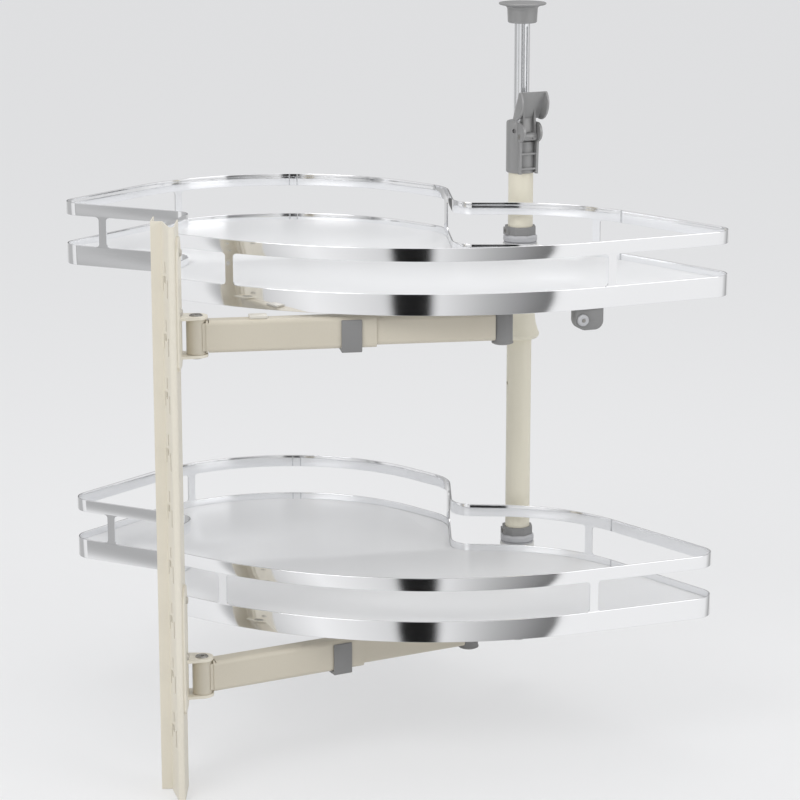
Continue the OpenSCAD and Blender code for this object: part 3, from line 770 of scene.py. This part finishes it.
def makeClampHousing():
    c = clampSize
    py, pz = c["pivot"]
    low, high, past = c["low"], c["high"], c["past"]
    outer, inner = c["cheekOuter"], c["cheekOuter"] - c["cheek"]
    sleeve = closed("sleeve", lathe, [
        (c["sleeve"], low + c["footBreak"]), (c["sleeve"], high - c["topRound"]),
        (c["sleeve"] - c["topCorner"], high - c["topCorner"]), (c["sleeve"] - c["topRound"], high),
        (c["rod"], high), (c["rod"], c["columnTop"]), (c["tube"], c["columnTop"]), (c["tube"], low),
        (c["sleeve"] - c["footBreak"], low),
    ])
    web = boxProfile(py, low + 1.0, c["webBack"], c["cheekCentre"][1])
    others = []
    for side in (-1, 1):
        others.append(joinedTo("cheek", cheekProfile(), side * outer, side * inner))
        others.append(joinedTo("web", web, side * (inner + c["web"]), side * inner))
    depth, reach = c["ribHalfDepth"], inner + c["ribBite"]
    for z in c["ribs"]:
        others.append(joinedTo("rib", boxProfile(py - depth, z, py + depth, z + c["rib"]), -reach, reach))
    seat = boxProfile(c["seatFront"], pz - c["seatUnderPivot"], c["seatBack"], high + past)
    others.append(cutFrom("seat", seat, -inner, inner))
    hole = discProfile((0.0, c["sideHoleHeight"]), c["sideHoleRadius"], step=15.0)
    wall = c["sleeve"]
    others.append(cutFrom("sideHole", hole, wall - c["sideHoleReach"], wall + c["sideHoleReach"]))
    others[-1][1].data.transform(Matrix.Rotation(math.radians(c["sideHoleTurn"]), 4, "Z"))
    others.append(("DIFFERENCE", closed("bores", lathe, [
        (0.01, low - 1.0), (c["tube"], low - 1.0), (c["tube"], c["columnTop"]), (c["rod"], c["columnTop"]),
        (c["rod"], high + past), (0.01, high + past),
    ])))
    bore = discProfile(c["pivot"], c["pinBore"], step=15.0)
    others.append(cutFrom("pinBore", bore, -c["boreHalf"], c["boreHalf"]))
    housing = carved("clampHousingBody", sleeve, others, c["bevel"])
    addPiece("clampHousingBody", housing, "fixed_frame", "clamp_grey", "clamp_housing")


def makeClampLever():
    v, pivot, boreHalf = leverSize, clampSize["pivot"], clampSize["boreHalf"]
    half, back = v["half"], v["half"] - v["backInset"]
    barrel = closed("barrel", prism, discProfile(pivot, v["barrel"], step=11.25), -half, half)
    others = [
        joinedTo("paddle", leverProfiles["paddle"], -v["paddle"], v["paddle"]),
        joinedTo("back", leverProfiles["back"], -back, back),
        cutFrom("recess", boxProfile(*v["recess"]), *v["recessWidth"]),
    ]
    for side in (-1, 1):
        rib = [side * (v["rib"] + way * v["ribThick"] / 2) for way in (-1, 1)]
        wing = [side * (v["paddle"] - v["wing"]), side * (v["paddle"] + v["wingProud"])]
        others.append(joinedTo("rib", leverProfiles["rib"], *rib))
        others.append(joinedTo("wing", leverProfiles["wing"], *wing))
    bore = discProfile(pivot, clampSize["pinBore"] + v["pinPlay"], step=15.0)
    others.append(cutFrom("pinBore", bore, -boreHalf, boreHalf))
    lever = carved("clampLeverBody", barrel, others, v["bevel"])
    addPiece("clampLeverBody", lever, "clamp_lever", "clamp_grey", "clamp_lever")


def makeClampPin():
    c, node = clampSize, "clamp_lever_pin"
    section = discProfile(c["pivot"], c["pinBore"] - c["pinPlay"], step=11.25)
    blank = closed("pin", prism, section, -c["pinHalf"], c["pinHalf"])
    pin = carved("clampPinBody", blank, [], c["pinBevel"])
    addPiece("clampPinBody", pin, bodyOf[node], slotOf[node], node)


makeClampHousing()
makeClampLever()
makeClampPin()
print("clamp made")


# Studio: pale floor and world, soft lamps
studio = {
    "floorTone": 0.84, "floorGlow": 0.5, "floorHalf": 60.0, "floorGap": 0.8 * mm,
    "glow": (0.93, 0.93, 0.935, 1.0), "backdrop": (0.9, 0.9, 0.91, 1.0),
    "ambient": (0.62, 0.63, 0.65, 1.0), "ceiling": (0.95, 0.95, 0.95, 1.0),
}
lamps = {
    "keySoftbox": {"place": (-1.3, -1.9, 2.3), "aim": (0.2, 0.1, 0.35), "size": (1.5, 1.2), "power": 26.0},
    "fillSoftbox": {"place": (2.2, -1.2, 1.5), "aim": (0.3, 0.2, 0.3), "size": (1.3, 1.3), "power": 12.0},
    "topSoftbox": {"place": (0.3, 0.5, 2.4), "aim": (0.3, 0.25, 0.4), "size": (1.6, 1.2), "power": 8.0},
}


# Pale floor that keeps shadows; polished metal looks through it at the studio walls
def floorPaint():
    tone = studio["floorTone"]
    pale = Finish("studioFloorPaint", (tone, tone, tone), 0.8)
    drift = pale.noise(1.4, 3.0)
    pale.tint((drift * 0.3).atMost(1.0), (tone * 0.98, tone * 0.98, tone * 0.985))
    glow = pale.node("ShaderNodeEmission", inputs={"Color": studio["glow"], "Strength": 1.0})
    clear = pale.node("ShaderNodeBsdfTransparent")
    lit = Value(pale.tree, pale.shader.outputs[0])
    fromCamera = pale.node("ShaderNodeLightPath", output="Is Camera Ray")
    mirrored = pale.node("ShaderNodeLightPath", output="Is Glossy Ray")
    shown = pale.blendShaders(fromCamera * studio["floorGlow"], lit, glow)
    surface = pale.blendShaders(mirrored, shown, clear)
    pale.put(pale.tree.nodes["Material Output"].inputs["Surface"], surface)
    return pale.material


def makeFloor():
    low, half = cadBox[0][2] - studio["floorGap"], studio["floorHalf"]
    corners = [(x * half, y * half, low) for x, y in ((-1, -1), (1, -1), (1, 1), (-1, 1))]
    mesh = bpy.data.meshes.new("studioFloor")
    mesh.from_pydata(corners, [], [(0, 1, 2, 3)])
    mesh.materials.append(floorPaint())
    linked("studioFloor", mesh)


def addLamp(name, lamp):
    data = bpy.data.lights.new(name, "AREA")
    data.shape = "RECTANGLE"
    data.size, data.size_y = lamp["size"]
    data.energy = lamp["power"]
    box = linked(name, data)
    box.location = lamp["place"]
    aim = Vector(lamp["aim"]) - Vector(lamp["place"])
    box.rotation_euler = aim.to_track_quat("-Z", "Y").to_euler()


# Tones that metal reflects, by compass direction as a share of a turn: bright walls, the grey
# drift on the trays' far left, a dark card behind the camera and a shaded flank to its right
studioWalls = [
    (0.0, 0.8), (0.07, 0.9),
    (0.079, 0.5), (0.085, 0.4), (0.09, 0.5), (0.0985, 0.62), (0.1015, 0.36), (0.1065, 0.56),
    (0.16, 0.95), (0.222, 0.72), (0.226, 0.012), (0.255, 0.012), (0.259, 0.85),
    (0.3, 0.5), (0.352, 0.16), (0.356, 0.95), (0.5, 0.9), (0.62, 0.35), (0.66, 0.85),
    (0.78, 0.1), (0.8, 0.8), (0.9, 0.5),
]


def makeWorld():
    world = bpy.data.worlds.new("studio")
    bpy.context.scene.world = world
    world.use_nodes = True
    tree = world.node_tree
    tree.nodes.clear()
    kit = ShaderKit(tree)
    output = tree.nodes.new("ShaderNodeOutputWorld")
    x, y, z = kit.components(kit.node("ShaderNodeTexCoord", output="Generated"))
    compass = y.maths("ARCTAN2", x) / math.tau + 0.5
    walls = kit.node("ShaderNodeValToRGB", {"stops": studioWalls}, {"Fac": compass})
    overhead = (z * 2.2 - 0.7).atLeast(0.0).atMost(1.0)
    reflected = kit.mixed(overhead, walls, studio["ceiling"])
    mirrored = kit.node("ShaderNodeLightPath", output="Is Glossy Ray")
    fromCamera = kit.node("ShaderNodeLightPath", output="Is Camera Ray")
    tone = kit.mixed(mirrored, studio["ambient"], reflected)
    tone = kit.mixed(fromCamera, tone, studio["backdrop"])
    back = kit.node("ShaderNodeBackground", inputs={"Color": tone, "Strength": 1.0})
    kit.put(output.inputs["Surface"], back)


# The photograph's uprights hardly lean, so part of the view downwards is lens shift
camera = {
    "place": (0.2694, -2.7637, 1.0918), "pitch": 0.2215,
    "focalPixels": 2587.8, "shiftPixels": -60.0, "widthPixels": 800, "sensor": 36.0,
}


def makeCamera():
    data = bpy.data.cameras.new("photoCamera")
    data.sensor_width = camera["sensor"]
    data.lens = camera["focalPixels"] / camera["widthPixels"] * camera["sensor"]
    data.shift_y = camera["shiftPixels"] / camera["widthPixels"]
    eye = linked("photoCamera", data)
    eye.location = camera["place"]
    eye.rotation_euler = (math.pi / 2 - camera["pitch"], 0.0, 0.0)
    bpy.context.scene.camera = eye


makeFloor()
makeWorld()
makeCamera()
for name, lamp in lamps.items():
    addLamp(name, lamp)
bpy.context.scene.view_settings.view_transform = "Standard"
print("studio ready")
